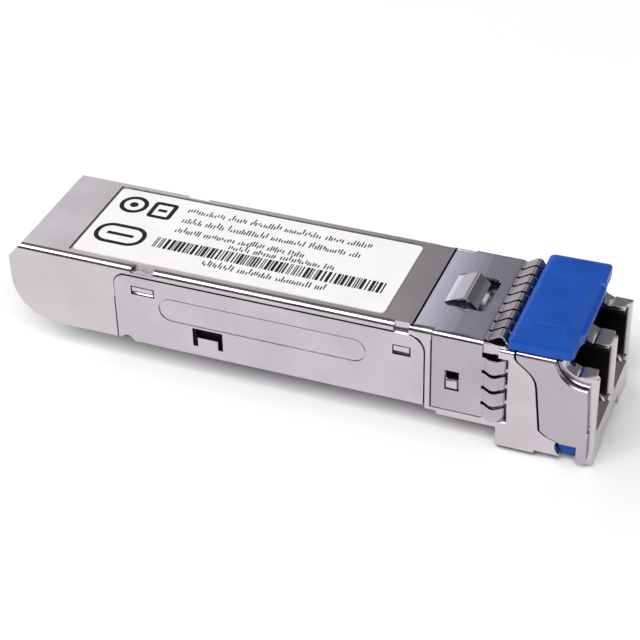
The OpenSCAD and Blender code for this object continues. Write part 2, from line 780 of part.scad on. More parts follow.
module flat_pack(x, y, size, height) {
  lead_step = 0.5;
  leads = floor((size - 0.8) / lead_step);
  translate([x - size / 2, y - size / 2, board_top + 0.05]) cube([size, size, height]);
  for (i = [0:leads - 1], turn = [0, 90]) translate([x, y, board_top]) rotate(turn)
    translate([-size / 2 - 0.15, (i - (leads - 1) / 2) * lead_step - 0.12, 0])
      cube([size + 0.3, 0.24, 0.1]);
}

module laser_driver() color([0.1, 0.1, 0.11]) seat() flat_pack(29.5, -2.6, 3.4, 0.9);

module limiting_amplifier() color([0.1, 0.1, 0.11]) seat() flat_pack(29.5, 2.6, 3, 0.9);

module microcontroller() color([0.1, 0.1, 0.11]) seat() flat_pack(21.5, 0, 4.4, 1);

module chip_part(x, y, length, width, height) translate([x, y, board_top]) {
  cap = length * 0.22;
  translate([-length / 2 + cap / 2, -width / 2 + 0.03, 0.02])
    cube([length - cap, width - 0.06, height - 0.04]);
  for (side = [-1, 1]) translate([side * (length - cap) / 2 - cap / 2, -width / 2, 0])
    cube([cap, width, height]);
}

module capacitors() color([0.6, 0.45, 0.3]) seat() for (x = [12.6, 14.8, 17, 26.2, 33], y = [-3.6, 0, 3.6])
  chip_part(x, y, 1.3, 0.7, 0.6);

module resistors() color([0.12, 0.12, 0.14]) seat() for (x = [12.6, 14.8, 17, 26.2], y = [-1.9, 1.9])
  chip_part(x, y, 1, 0.5, 0.35);

module inductors() color([0.25, 0.25, 0.27]) seat() for (y = [-4, 4]) chip_part(21.5, y, 2, 1.2, 1);

module thermal_pad() color([0.55, 0.6, 0.68]) seat()
  bar(19.6, 23.4, 1.9, board_top + 1.06, roof_under - 0.02);

// ---- assembly -----------------------------------------------------------------------------------

top_housing();
bottom_cover();
emi_collar();
label();
bail_bracket();
bail_grip();
bail_bosses();
bail_axle();
release_cam();
latch_lever();
latch_pin();
latch_spring();
receptacle_insert();
transmitter_barrel();
transmitter_can();
receiver_barrel();
receiver_can();
ferrule_sleeves();
optics_clamp();
transmitter_flex();
receiver_flex();
circuit_board();
contacts_top();
contacts_bottom();
laser_driver();
limiting_amplifier();
microcontroller();
capacitors();
resistors();
inductors();
thermal_pad();
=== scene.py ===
import json
import math
import random

import bmesh
import bpy
from mathutils import Matrix, Vector


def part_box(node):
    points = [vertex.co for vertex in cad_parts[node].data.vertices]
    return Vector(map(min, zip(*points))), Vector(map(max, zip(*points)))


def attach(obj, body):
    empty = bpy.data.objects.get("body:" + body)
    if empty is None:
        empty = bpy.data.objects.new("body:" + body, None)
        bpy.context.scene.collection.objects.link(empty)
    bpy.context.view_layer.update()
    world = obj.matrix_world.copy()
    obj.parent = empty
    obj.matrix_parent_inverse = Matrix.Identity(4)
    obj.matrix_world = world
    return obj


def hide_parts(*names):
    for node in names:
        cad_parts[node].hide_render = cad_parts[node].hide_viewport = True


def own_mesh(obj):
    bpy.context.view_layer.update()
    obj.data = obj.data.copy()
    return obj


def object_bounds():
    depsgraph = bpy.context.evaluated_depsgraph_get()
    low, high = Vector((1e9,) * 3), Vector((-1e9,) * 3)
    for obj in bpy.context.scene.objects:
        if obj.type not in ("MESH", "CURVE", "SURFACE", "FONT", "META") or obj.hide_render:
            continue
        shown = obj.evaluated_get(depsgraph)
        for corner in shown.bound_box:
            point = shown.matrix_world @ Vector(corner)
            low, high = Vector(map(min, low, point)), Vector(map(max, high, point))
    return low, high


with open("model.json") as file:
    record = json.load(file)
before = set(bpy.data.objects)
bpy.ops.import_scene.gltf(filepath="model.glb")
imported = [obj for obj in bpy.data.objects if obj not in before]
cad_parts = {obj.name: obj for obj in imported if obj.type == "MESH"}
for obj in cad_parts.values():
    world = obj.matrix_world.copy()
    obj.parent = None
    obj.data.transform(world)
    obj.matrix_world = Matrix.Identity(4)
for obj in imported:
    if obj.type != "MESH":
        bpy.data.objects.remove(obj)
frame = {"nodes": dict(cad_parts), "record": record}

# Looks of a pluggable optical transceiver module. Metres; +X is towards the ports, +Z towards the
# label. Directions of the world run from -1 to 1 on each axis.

MM = 0.001
MICRON = 0.001 * MM
nodes = frame["nodes"]
cad_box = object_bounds()

# Camera, fitted to the photo: degrees and mm
CAMERA_AZIMUTH, CAMERA_ELEVATION, CAMERA_ROLL = 21.934, 36.085, 1.382
CAMERA_AIM = (0.71, -0.99, 5.59)
CAMERA_DISTANCE = 174.285
CAMERA_LENS = 105.74
CAMERA_SENSOR = 36

# Lights, aimed at the origin: place, size, watts
LIGHTS = {"key_light": ((-0.05, -0.90, 1.30), (2.2, 0.85), 31),
          "fill_light": ((-1.3, 0.1, 0.7), (0.7, 0.7), 5)}

# Studio: how bright each part is, and between which directions each of its edges fades
SKY_GLOW = 0.16
WALL_GLOW = 0.84
WALL_DIM = 0.04          # share of the wall's brightness that is left to its right
WALL_RIGHT, WALL_NEAR, WALL_TOP = (-0.46, -0.16), (0.0, 0.4), (0.66, 0.80)
PANEL_GLOW = 0.8
PANEL_LEFT, PANEL_RIGHT = (-0.08, 0.04), (0.22, 0.36)
PANEL_NEAR, PANEL_FOOT = (0.3, 0.5), (0.48, 0.58)
FRONT_GLOW = 0.05
FRONT_FAR, FRONT_TOP, FRONT_RIGHT = (-0.3, 0.0), (0.45, 0.65), (-0.1, 0.15)
STUDIO_TINT = (1.0, 0.985, 1.0)

FLOOR_HALF = 1.5
FLOOR_GAP = 0.01 * MM

# Sockets of the Mix node when it mixes colours
MIX_FACTOR, MIX_A, MIX_B, MIX_RESULT = 0, 6, 7, 2

# Bare metal: sizes of its patterns, and the painted shade that darkens narrow gaps
CLOUD_SIZE, SMEAR_SIZE, WAVE_SIZE, GRAIN_SIZE = 6 * MM, 2.2 * MM, 4.5 * MM, 0.16 * MM
SMEAR_STRETCH = (2.6, 1, 1)
GRAIN_SHARE = 0.25       # of the roughness pattern; the smears are the rest
# painted shade: ambient occlusion mixes narrow gaps towards GAP_SHADE_COLOUR
GAP_REACH = 0.45 * MM
GAP_SHUT, GAP_OPEN = 0.25, 0.62
GAP_SHADE_COLOUR = (0.020, 0.017, 0.021)
GAP_ROUGHNESS = 0.3      # added
SEAM_SHADOW = 0.85        # how dark the painted shadow lines along the seams are
FIELD_SPARED = 0.62      # share of the painted gap shade that the cover's pressed ring is spared
FINGER_SHADE = 0.34   # how much painted shade darkens the fingers on top of the collar

# Moulded plastic
FLOW_SIZE, SPARK_SIZE = 2.5 * MM, 0.09 * MM
COAT_ROUGHNESS = 0.15

# Rounding of the CAD pieces' edges: widths in mm, angles in degrees
EDGE_WIDTHS = {
    "top_housing": 0.07, "bottom_cover": 0.05, "emi_collar": 0.05, "bail_bracket": 0.09,
    "latch_lever": 0.06, "circuit_board": 0.03, "optics_clamp": 0.05, "release_cam": 0.05,
    "receptacle_insert": 0.05, "transmitter_barrel": 0.06, "receiver_barrel": 0.06,
    "transmitter_can": 0.06, "receiver_can": 0.06, "thermal_pad": 0.1, "bail_bosses": 0.06,
}
EDGE_ANGLE, COLLAR_EDGE_ANGLE, GRIP_EDGE_ANGLE = 28, 23, 50
FLAT_ANGLE = 0.5
WELD_DISTANCE = 1 * MICRON
SHADING_WEIGHT = 80      # how much larger faces count for the even shading
LOOKS_UP = 0.98          # the normal's Z from which a face counts as looking up

# Label print, in mm: x from the module's rear end, y from its middle
LABEL_REAR = 6.15
INK_ABOVE, INK_BELOW = 0.012, 0.02           # the label's face
INK_LINE = 0.44
RING_MARK, SQUARE_MARK, PILL_MARK = (8.40, 3.15), (11.45, 3.05), (9.40, -1.95)
STROKE_ROWS = [(13.8, 32.3, 3.95), (13.95, 31.9, 2.2), (14.0, 26.9, 0.5), (19.9, 30.2, -0.5),
               (18.6, 30.6, -3.75)]          # start, end and y of each
BAR_PATTERN = (13.0, 35.5, -2.82, -1.16)     # start and end in x, then in y
PRINT_SEED = 12


# ---- camera, light and floor --------------------------------------------------------------------

def make_camera():
    azimuth, elevation, roll = (math.radians(v) for v in
                                (CAMERA_AZIMUTH, CAMERA_ELEVATION, CAMERA_ROLL))
    back = Vector((math.sin(azimuth) * math.cos(elevation),
                   -math.cos(azimuth) * math.cos(elevation), math.sin(elevation)))
    right = Vector((math.cos(azimuth), math.sin(azimuth), 0))
    up = back.cross(right)
    data = bpy.data.cameras.new("camera")
    data.lens = CAMERA_LENS
    data.sensor_width = CAMERA_SENSOR
    data.clip_start = 0.01
    data.clip_end = 10
    camera = bpy.data.objects.new("camera", data)
    axes = Matrix((right, up, back)).transposed()
    place = Vector(CAMERA_AIM) * MM + back * (CAMERA_DISTANCE * MM)
    camera.matrix_world = (Matrix.Translation(place)
                           @ (axes @ Matrix.Rotation(-roll, 3, "Z")).to_4x4())
    bpy.context.scene.collection.objects.link(camera)
    bpy.context.scene.camera = camera


def soft_light(name, place, size, power):
    """A rectangular light at place that looks at the origin."""
    data = bpy.data.lights.new(name, "AREA")
    data.shape = "RECTANGLE"
    data.size, data.size_y = size
    data.energy = power
    light = bpy.data.objects.new(name, data)
    light.location = place
    light.rotation_mode = "QUATERNION"
    light.rotation_quaternion = Vector(place).to_track_quat("Z", "Y")
    bpy.context.scene.collection.objects.link(light)


def make_world():
    """A dim studio, brighter or darker in three directions, in front of a white backdrop.

    A pale wall is low at the back on the left, a soft panel higher at the back on the right, and
    the front is dark low down on the left. The backdrop shows only where the camera looks past the
    floor."""
    world = bpy.data.worlds.new("studio")
    bpy.context.scene.world = world
    world.use_nodes = True
    tree = world.node_tree
    background = tree.nodes["Background"]
    axes = coordinates(tree, "Generated")

    def fade(axis, edge, low=0, high=1):
        return between(tree, axes[axis], low, high, *edge, curve="SMOOTHSTEP")

    wall = product(tree, fade("X", WALL_RIGHT, 1, WALL_DIM), fade("Y", WALL_NEAR),
                   fade("Z", WALL_TOP, 1, 0))
    front = product(tree, fade("Y", FRONT_FAR, 1, 0), fade("Z", FRONT_TOP, 1, 0),
                    fade("X", FRONT_RIGHT, 1, 0))
    panel = product(tree, fade("X", PANEL_LEFT), fade("X", PANEL_RIGHT, 1, 0),
                    fade("Y", PANEL_NEAR), fade("Z", PANEL_FOOT))
    glow = between(tree, front, SKY_GLOW, FRONT_GLOW, 0, 1)
    glow = combine(tree, "ADD", product(tree, wall, WALL_GLOW), glow)
    glow = combine(tree, "ADD", product(tree, panel, PANEL_GLOW), glow)
    backdrop = tree.nodes.new("ShaderNodeLightPath").outputs["Is Camera Ray"]
    tree.links.new(combine(tree, "MAXIMUM", glow, backdrop), background.inputs["Strength"])
    background.inputs["Color"].default_value = (*STUDIO_TINT, 1)


def make_floor():
    corners = [(-1, -1), (1, -1), (1, 1), (-1, 1)]
    mesh = bpy.data.meshes.new("floor")
    mesh.from_pydata([(x * FLOOR_HALF, y * FLOOR_HALF, 0) for x, y in corners], [], [(0, 1, 2, 3)])
    floor = bpy.data.objects.new("floor", mesh)
    floor.location.z = cad_box[0].z - FLOOR_GAP
    bpy.context.scene.collection.objects.link(floor)
    material, _, surface = shader("pale_floor")
    surface.inputs["Base Color"].default_value = (0.93, 0.93, 0.93, 1)
    surface.inputs["Roughness"].default_value = 0.9
    surface.inputs["Specular IOR Level"].default_value = 0.1
    mesh.materials.append(material)


# ---- material tools -----------------------------------------------------------------------------

def shader(name):
    material = bpy.data.materials.new(name)
    material.use_nodes = True
    tree = material.node_tree
    return material, tree, tree.nodes["Principled BSDF"]


def coordinates(tree, kind):
    """The X, Y and Z sockets of a texture coordinate."""
    place = tree.nodes.new("ShaderNodeTexCoord")
    split = tree.nodes.new("ShaderNodeSeparateXYZ")
    tree.links.new(place.outputs[kind], split.inputs[0])
    return split.outputs


def noise(tree, size, stretch=(1, 1, 1), detail=3, offset=0):
    """A cloud pattern whose features are about size across, in metres, times stretch.

    Each offset gives another part of the pattern, so that no two look alike."""
    place = tree.nodes.new("ShaderNodeTexCoord")
    mapping = tree.nodes.new("ShaderNodeMapping")
    mapping.inputs["Scale"].default_value = [1 / (size * s) for s in stretch]
    mapping.inputs["Location"].default_value = (offset, offset * 0.7, offset * 1.3)
    pattern = tree.nodes.new("ShaderNodeTexNoise")
    pattern.inputs["Scale"].default_value = 1
    pattern.inputs["Detail"].default_value = detail
    pattern.inputs["Roughness"].default_value = 0.55
    tree.links.new(place.outputs["Object"], mapping.inputs["Vector"])
    tree.links.new(mapping.outputs["Vector"], pattern.inputs["Vector"])
    return pattern.outputs["Fac"]


def between(tree, value, low, high, start=0.3, end=0.7, curve="LINEAR"):
    """value from start to end becomes low to high. A noise pattern lies mostly in 0.3 to 0.7."""
    ranged = tree.nodes.new("ShaderNodeMapRange")
    ranged.interpolation_type = curve
    ranged.inputs["From Min"].default_value = start
    ranged.inputs["From Max"].default_value = end
    ranged.inputs["To Min"].default_value = low
    ranged.inputs["To Max"].default_value = high
    tree.links.new(value, ranged.inputs["Value"])
    return ranged.outputs["Result"]


def combine(tree, operation, a, b):
    """A Math node on two values, each a number or a socket."""
    math_node = tree.nodes.new("ShaderNodeMath")
    math_node.operation = operation
    for socket, value in zip(math_node.inputs, (a, b)):
        if isinstance(value, (int, float)):
            socket.default_value = value
        else:
            tree.links.new(value, socket)
    return math_node.outputs[0]


def product(tree, first, *others):
    """The product of several values, the first a socket."""
    for other in others:
        first = combine(tree, "MULTIPLY", first, other)
    return first


def mix(tree, factor, start, end):
    """A colour that goes from start, a fixed colour or a socket, to the fixed colour end."""
    node = tree.nodes.new("ShaderNodeMix")
    node.data_type = "RGBA"
    if isinstance(start, tuple):
        node.inputs[MIX_A].default_value = (*start, 1)
    else:
        tree.links.new(start, node.inputs[MIX_A])
    node.inputs[MIX_B].default_value = (*end, 1)
    tree.links.new(factor, node.inputs[MIX_FACTOR])
    return node.outputs[MIX_RESULT]


def tint(tree, pattern, dark, light):
    """A colour that goes from dark to light over a noise pattern."""
    return mix(tree, between(tree, pattern, 0, 1), dark, light)


def inside(tree, low, high, soft):
    """1 inside the box from low to high, in the part's frame, and 0 from soft beyond it on."""
    axes = coordinates(tree, "Object")
    shares = []
    for axis in range(3):
        middle = (low[axis] + high[axis]) / 2
        reach = (high[axis] - low[axis]) / 2
        away = combine(tree, "ABSOLUTE", combine(tree, "SUBTRACT", axes[axis], middle), 0)
        shares.append(between(tree, away, 1, 0, reach, reach + soft))
    return product(tree, *shares)


def under(tree, node, depth):
    """1 further than depth inside the box of a sheet-metal node."""
    low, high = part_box(node)
    edge = Vector((depth, depth, depth))
    return inside(tree, low + edge, high - edge, 0.02 * MM)


def openness(tree, reach):
    """1 on open surface, down to 0 deep in gaps narrower than about reach."""
    occlusion = tree.nodes.new("ShaderNodeAmbientOcclusion")
    occlusion.samples = 8
    occlusion.inputs["Distance"].default_value = reach
    return occlusion.outputs["AO"]


def relief(tree, surface, height, depth):
    """Raises the surface by height times depth, in metres."""
    bump = tree.nodes.new("ShaderNodeBump")
    bump.inputs["Distance"].default_value = depth
    bump.inputs["Strength"].default_value = 1
    tree.links.new(height, bump.inputs["Height"])
    tree.links.new(bump.outputs["Normal"], surface.inputs["Normal"])


def metal(name, dark, light, rough, grain, wave=0, stretch=(1, 1, 1), shade=None, spare=None,
          sheen_patch=None):
    """Bare metal: two close tints in clouds, uneven roughness, grain along stretch and a slow wave.

    grain and wave are in microns. Narrow gaps get painted shade, and so does what shade marks;
    where spare is near 1 that painted shade is lifted. sheen_patch is where a painted sheen tint
    takes over, and that tint."""
    material, tree, surface = shader(name)
    surface.inputs["Metallic"].default_value = 1
    colour = tint(tree, noise(tree, CLOUD_SIZE, detail=4), dark, light)
    fine = noise(tree, GRAIN_SIZE, stretch, detail=2, offset=3)
    smears = noise(tree, SMEAR_SIZE, SMEAR_STRETCH, detail=4, offset=7)
    mixed = combine(tree, "ADD", product(tree, fine, GRAIN_SHARE),
                    product(tree, smears, 1 - GRAIN_SHARE))
    roughness = between(tree, mixed, *rough)
    # painted sheen: where sheen_patch marks, the colour goes to a lighter bluish tint
    if sheen_patch:
        where, other = sheen_patch
        colour = mix(tree, where(tree), colour, other)
    # painted shade: ambient occlusion darkens narrow gaps towards a dark colour
    painted_shade = between(tree, openness(tree, GAP_REACH), 1, 0, GAP_SHUT, GAP_OPEN)
    if shade:
        painted_shade = combine(tree, "MAXIMUM", painted_shade, shade(tree))
    if spare:
        painted_shade = product(tree, painted_shade, combine(tree, "SUBTRACT", 1, spare(tree)))
    colour = mix(tree, painted_shade, colour, GAP_SHADE_COLOUR)
    roughness = combine(tree, "ADD", roughness, product(tree, painted_shade, GAP_ROUGHNESS))
    tree.links.new(colour, surface.inputs["Base Color"])
    tree.links.new(roughness, surface.inputs["Roughness"])
    height = product(tree, fine, grain * MICRON)
    if wave:
        slow = noise(tree, WAVE_SIZE, detail=1, offset=11)
        height = combine(tree, "ADD", product(tree, slow, wave * MICRON), height)
    relief(tree, surface, height, 1)
    return material


def moulded(name, dark, light, rough, grain, coat=0, shine=0.5):
    """Moulded plastic: faint flow clouds, a fine texture of grain microns and a soft sheen."""
    material, tree, surface = shader(name)
    clouds = noise(tree, FLOW_SIZE, detail=4)
    tree.links.new(tint(tree, clouds, dark, light), surface.inputs["Base Color"])
    fine = noise(tree, SPARK_SIZE, detail=3, offset=5)
    tree.links.new(between(tree, fine, *rough), surface.inputs["Roughness"])
    surface.inputs["Specular IOR Level"].default_value = shine
    surface.inputs["Coat Weight"].default_value = coat
    surface.inputs["Coat Roughness"].default_value = COAT_ROUGHNESS
    relief(tree, surface, fine, grain * MICRON)
    return material


# ---- where the metal is duller or brighter ------------------------------------------------------

def painted_recess_shade(tree):
    """Painted shade on the casting in the ports, behind cover and collar, and along their edges."""
    low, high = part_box("top_housing")
    port_rear, port_front, port_half = high.x - 8.7 * MM, high.x - 0.35 * MM, 5.6 * MM
    port_floor, port_roof = low.z + 3.9 * MM, low.z + 9.2 * MM
    ports = inside(tree, (port_rear, -port_half, port_floor), (port_front, port_half, port_roof),
                   0.2 * MM)
    cover = under(tree, "bottom_cover", 0.28 * MM)
    collar = under(tree, "emi_collar", 0.9 * MM)
    window_rear, window_front, window_half = high.x - 15.15 * MM, high.x - 11.2 * MM, 2.6 * MM
    tab_window = inside(tree, (window_rear, -window_half, low.z + 6 * MM),
                        (window_front, window_half, high.z), 0.05 * MM)
    collar = product(tree, collar, combine(tree, "SUBTRACT", 1, tab_window))
    marked = combine(tree, "MAXIMUM", ports, combine(tree, "MAXIMUM", cover, collar))
    return combine(tree, "MAXIMUM", marked, painted_seam_shadows(tree))


def painted_seam_shadows(tree):
    """Painted shadow lines on the casting along the cover's rear edge and the collar's rear and
    bottom edges.
    """
    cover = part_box("bottom_cover")[0]
    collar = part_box("emi_collar")[0]
    collar_rear = collar.x + 1.9 * MM
    cover_top = cover.z + 4.9 * MM
    collar_top_edge = collar.z + 7.2 * MM
    collar_front = collar_rear + 4.5 * MM
    side = 8 * MM
    line = 0.17 * MM
    lines = [((cover.x - line, -side, cover.z), (cover.x + line, side, cover_top)),
             ((collar_rear - line, -side, collar.z), (collar_rear + line, side, collar_top_edge)),
             ((collar_rear - line, -side, collar.z - line), (collar_front, side, collar.z + line))]
    # painted shadows: each box darkens a thin line along a seam
    result = 0
    for low, high in lines:
        result = combine(tree, "MAXIMUM", inside(tree, low, high, 0.05 * MM), result)
    return product(tree, result, SEAM_SHADOW)


def pressed_field(tree):
    """The shallow ring pressed into each side of the cover, where most of the painted gap shade is
    lifted.
    """
    low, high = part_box("bottom_cover")
    middle = (low.x + high.x) / 2 - 0.55 * MM
    half = 10.2 * MM
    bottom, top = low.z + 3.4 * MM, low.z + 6 * MM
    field = inside(tree, (middle - half, low.y, bottom), (middle + half, high.y, top), 0.1 * MM)
    return product(tree, field, FIELD_SPARED)


def painted_collar_sheen(tree):
    """Where the upper side of the collar, behind its fingers, gets a painted bluish sheen."""
    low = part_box("emi_collar")[0]
    top = low.z + 8.25 * MM
    reach = 6.2 * MM
    return inside(tree, (low.x, -reach, top - 0.3 * MM), (low.x + reach, reach, top), 0.2 * MM)


def painted_finger_shade(tree):
    """Painted shade, and more roughness, on the row of fingers across the top of the collar."""
    low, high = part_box("emi_collar")
    row_rear, row_bottom = low.x + 6.5 * MM, low.z + 8 * MM
    row = inside(tree, (row_rear, low.y, row_bottom), high, 0.1 * MM)
    return product(tree, row, FINGER_SHADE)


# ---- materials ----------------------------------------------------------------------------------

def label_film():
    """White film: faint clouds and fine fibres."""
    material, tree, surface = shader("label_film")
    clouds = noise(tree, 4 * MM, detail=4)
    tree.links.new(tint(tree, clouds, (0.82, 0.805, 0.82), (0.88, 0.87, 0.88)),
                   surface.inputs["Base Color"])
    fibres = noise(tree, 0.08 * MM, (2, 1, 1), detail=3, offset=2)
    tree.links.new(between(tree, fibres, 0.42, 0.55), surface.inputs["Roughness"])
    surface.inputs["Specular IOR Level"].default_value = 0.3
    relief(tree, surface, fibres, 1.5 * MICRON)
    return material


def label_ink():
    """Black ink with a fine speckle."""
    material, tree, surface = shader("label_ink")
    speckle = noise(tree, 0.05 * MM, detail=3, offset=9)
    tree.links.new(tint(tree, speckle, (0.006, 0.006, 0.007), (0.016, 0.016, 0.018)),
                   surface.inputs["Base Color"])
    tree.links.new(between(tree, speckle, 0.5, 0.65), surface.inputs["Roughness"])
    surface.inputs["Specular IOR Level"].default_value = 0.12
    relief(tree, surface, speckle, 1 * MICRON)
    return material


def solder_mask():
    """Green mask over copper: tracks show as lighter, raised lines."""
    material, tree, surface = shader("solder_mask")
    place = tree.nodes.new("ShaderNodeTexCoord")
    tracks = tree.nodes.new("ShaderNodeTexBrick")
    tracks.inputs["Scale"].default_value = 1 / (0.9 * MM)
    tracks.inputs["Mortar Size"].default_value = 0.12
    tracks.inputs["Mortar Smooth"].default_value = 0.2
    tree.links.new(place.outputs["Object"], tracks.inputs["Vector"])
    clouds = noise(tree, 1.2 * MM, detail=3)
    shade = combine(tree, "ADD", product(tree, clouds, 0.3), tracks.outputs["Fac"])
    tree.links.new(mix(tree, between(tree, shade, 0, 1, 0.1, 1.1), (0.012, 0.11, 0.05),
                       (0.03, 0.2, 0.1)), surface.inputs["Base Color"])
    tree.links.new(between(tree, clouds, 0.25, 0.4), surface.inputs["Roughness"])
    relief(tree, surface, shade, 20 * MICRON)
    return material


def make_materials():
    """One material for each slot of the record."""
    metals = {
        # painted shade on the casting in the ports, under cover and collar, and along the seams
        "plated_casting": dict(dark=(0.54, 0.50, 0.525), light=(0.62, 0.575, 0.605),
                               rough=(0.12, 0.24), grain=0.5, wave=3, shade=painted_recess_shade),
        "cover_sheet": dict(dark=(0.50, 0.465, 0.51), light=(0.59, 0.55, 0.605),
                            # the cover's pressed ring loses most of its painted gap shade
                            rough=(0.10, 0.22), grain=0.35, wave=4, stretch=(8, 1, 1),
                            spare=pressed_field),
        # painted bluish sheen on the collar's top
        # painted shade on the collar's top fingers
        "collar_sheet": dict(dark=(0.42, 0.39, 0.43), light=(0.51, 0.475, 0.52),
                             rough=(0.09, 0.2), grain=0.4, wave=3, stretch=(1, 6, 1),
                             shade=painted_finger_shade, sheen_patch=(painted_collar_sheen, (0.65, 0.65, 0.78))),
        "bracket_metal": dict(dark=(0.44, 0.40, 0.435), light=(0.50, 0.455, 0.495),
                              rough=(0.12, 0.22), grain=0.5, wave=3),
        "clamp_metal": dict(dark=(0.40, 0.40, 0.42), light=(0.55, 0.55, 0.57),
                            rough=(0.28, 0.42), grain=1),
        "steel": dict(dark=(0.50, 0.50, 0.52), light=(0.62, 0.62, 0.64), rough=(0.2, 0.34),
                      grain=0.7, stretch=(1, 8, 1)),
        "spring_steel": dict(dark=(0.36, 0.36, 0.40), light=(0.48, 0.48, 0.52),
                             rough=(0.22, 0.36), grain=0.7),
        "gold_plate": dict(dark=(0.62, 0.42, 0.13), light=(0.80, 0.58, 0.22), rough=(0.16, 0.30),
                           grain=0.5),
    }
    plastics = {
        "blue_plastic": dict(dark=(0.002, 0.058, 0.34), light=(0.004, 0.076, 0.42),
                             rough=(0.30, 0.42), grain=0.9, coat=0.05, shine=0.22),
        "black_plastic": dict(dark=(0.008, 0.008, 0.009), light=(0.02, 0.02, 0.022),
                              rough=(0.4, 0.6), grain=3),
        "zirconia": dict(dark=(0.80, 0.77, 0.70), light=(0.88, 0.86, 0.80), rough=(0.18, 0.3),
                         grain=0.8, coat=0.4),
        "flex_film": dict(dark=(0.42, 0.17, 0.02), light=(0.58, 0.27, 0.04), rough=(0.22, 0.35),
                          grain=1, coat=0.5),
        "chip_body": dict(dark=(0.012, 0.012, 0.014), light=(0.03, 0.03, 0.033), rough=(0.5, 0.7),
                          grain=4),
        "chip_ceramic": dict(dark=(0.30, 0.18, 0.09), light=(0.42, 0.27, 0.15), rough=(0.4, 0.6),
                             grain=3),
        "chip_ceramic_dark": dict(dark=(0.015, 0.015, 0.02), light=(0.04, 0.04, 0.05),
                                  rough=(0.3, 0.5), grain=2),
        "ferrite": dict(dark=(0.03, 0.03, 0.033), light=(0.07, 0.07, 0.075), rough=(0.5, 0.75),
                        grain=5),
        "pad_silicone": dict(dark=(0.22, 0.28, 0.36), light=(0.30, 0.36, 0.45), rough=(0.6, 0.8),
                             grain=6),
    }
    made = {name: metal(name, **looks) for name, looks in metals.items()}
    made.update((name, moulded(name, **looks)) for name, looks in plastics.items())
    made["board_laminate"] = solder_mask()
    made["label_film"] = label_film()
    return made


# ---- pieces kept from the CAD model -------------------------------------------------------------

def flat_tops():
    """A modifier's node group that shades the faces that look up flat, each on its own."""
    group = bpy.data.node_groups.new("flat_tops", "GeometryNodeTree")
    for way in ("INPUT", "OUTPUT"):
        group.interface.new_socket("Geometry", in_out=way, socket_type="NodeSocketGeometry")
    start = group.nodes.new("NodeGroupInput")
    end = group.nodes.new("NodeGroupOutput")
    normal = group.nodes.new("GeometryNodeInputNormal")
    split = group.nodes.new("ShaderNodeSeparateXYZ")
    upward = group.nodes.new("ShaderNodeMath")
    upward.operation = "GREATER_THAN"
    upward.inputs[1].default_value = LOOKS_UP
    shade = group.nodes.new("GeometryNodeSetShadeSmooth")
    shade.inputs["Shade Smooth"].default_value = False
    group.links.new(normal.outputs[0], split.inputs[0])
    group.links.new(split.outputs["Z"], upward.inputs[0])
    group.links.new(upward.outputs[0], shade.inputs["Selection"])
    group.links.new(start.outputs[0], shade.inputs["Geometry"])
    group.links.new(shade.outputs[0], end.inputs[0])
    return group


def round_edges(piece, width, segments, angle):
    """Rounds the edges that are sharper than angle, in degrees."""
    edge = piece.modifiers.new("round_edges", "BEVEL")
    edge.width = width
    edge.segments = segments
    edge.limit_method = "ANGLE"
    edge.angle_limit = math.radians(angle)
    return edge


def soften(piece, width, angle=EDGE_ANGLE, merge=True, keep_flat=False):
    """Rounds a CAD piece's sharp edges by width and smooths its shading, with modifiers only.

    merge joins faces that lie in one plane first; keep_flat leaves the shading of the faces that
    look up flat."""
    weld = piece.modifiers.new("join_faces", "WELD")
    weld.merge_threshold = WELD_DISTANCE
    if merge:
        plane = piece.modifiers.new("merge_flat_faces", "DECIMATE")
        plane.decimate_type = "DISSOLVE"
        plane.angle_limit = math.radians(FLAT_ANGLE)
    edge = round_edges(piece, width, 2, angle)
    edge.use_clamp_overlap = True
    edge.miter_outer = "MITER_ARC"
    if keep_flat:
        piece.modifiers.new("flat_tops", "NODES").node_group = flat_tops()
    shade = piece.modifiers.new("even_shading", "WEIGHTED_NORMAL")
    shade.mode = "FACE_AREA_WITH_ANGLE"
    shade.weight = SHADING_WEIGHT
    shade.keep_sharp = keep_flat


def dress_cad(materials):
    """Gives each CAD piece its slot's material, softens the visible ones and gives the spring its
    own mesh.
    """
    slots = {row["node"]: row["material_slot"] for row in frame["record"]["subparts"]}
    for name, piece in nodes.items():
        piece.data.materials.clear()
        piece.data.materials.append(materials[slots[name]])
    special = {"emi_collar": dict(angle=COLLAR_EDGE_ANGLE, keep_flat=True),
               "top_housing": dict(merge=False)}
    for name, width in EDGE_WIDTHS.items():
        soften(nodes[name], width * MM, **special.get(name, {}))
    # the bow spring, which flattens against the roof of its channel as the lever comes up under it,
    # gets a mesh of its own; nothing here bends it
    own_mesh(nodes["latch_spring"])


# ---- grip ---------------------------------------------------------------------------------------

def add_object(name, mesh, material, body):
    """A new piece that rides on body and takes the given material."""
    piece = bpy.data.objects.new(name, mesh)
    mesh.materials.append(material)
    bpy.context.scene.collection.objects.link(piece)
    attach(piece, body)
    return piece


